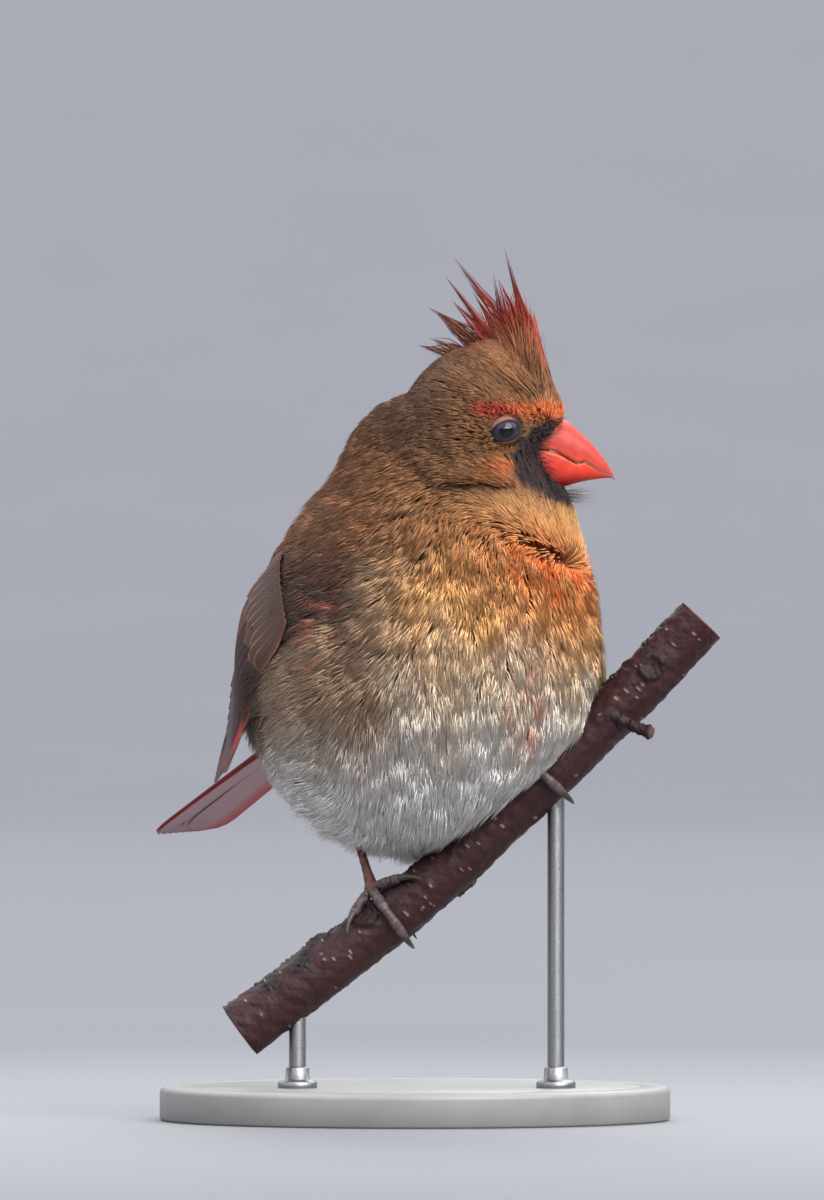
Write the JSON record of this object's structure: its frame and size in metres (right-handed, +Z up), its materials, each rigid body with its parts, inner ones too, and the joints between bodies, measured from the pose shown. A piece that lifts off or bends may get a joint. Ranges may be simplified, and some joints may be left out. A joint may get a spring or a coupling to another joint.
{
  "type": "female northern cardinal museum model on a perch",
  "caption": "Life-size still model of a fluffed female northern cardinal gripping a cut length of branch, held by a plain round display stand.",
  "frame": {"origin": "centre of the underside of the stand's round base, below the middle of the bird's body", "axes": "+Z up, the bird's body faces -Y and +X is the bird's left; the branch rises towards the bird's front left"},
  "size_m": [0.12, 0.1699, 0.206],
  "materials": {
    "head_feathers": "soft, short, flat-lying feathers, red over the eye and dark grey round the bill",
    "crest_feathers": "loose pointed locks, dark at their tips",
    "body_feathers": "long, soft, fluffed body feathers",
    "wing_feathers": "closed flight feathers with red and buff edges",
    "tail_feathers": "closed long feathers, dull red",
    "eye_gloss": "wet gloss, near black",
    "bill_horn": "satin horn, orange red",
    "leg_scales": "fine overlapping scales, reddish brown",
    "claw_horn": "satin horn, dark grey brown",
    "bark": "dark maroon bark with pale pores and grey bloom",
    "board": "satin pale paint",
    "rod": "brushed"
  },
  "bodies": {
    "root": {"head": "head_feathers", "crest": "crest_feathers", "neck": "body_feathers", "trunk": "body_feathers", "tail": "tail_feathers", "wing_right": "wing_feathers", "wing_left": "wing_feathers", "eye_right": "eye_gloss", "eye_left": "eye_gloss", "bill_upper": "bill_horn", "bill_lower": "bill_horn", "tarsus_right": "leg_scales", "toe_right_hallux": "leg_scales", "claw_right_hallux": "claw_horn", "toe_right_inner": "leg_scales", "claw_right_inner": "claw_horn", "toe_right_middle": "leg_scales", "claw_right_middle": "claw_horn", "toe_right_outer": "leg_scales", "claw_right_outer": "claw_horn", "tarsus_left": "leg_scales", "toe_left_hallux": "leg_scales", "claw_left_hallux": "claw_horn", "toe_left_inner": "leg_scales", "claw_left_inner": "claw_horn", "toe_left_middle": "leg_scales", "claw_left_middle": "claw_horn", "toe_left_outer": "leg_scales", "claw_left_outer": "claw_horn", "perch": "bark", "stand_base": "board", "stand_rod_lower": "rod", "stand_rod_upper": "rod"}
  },
  "joints": []
}
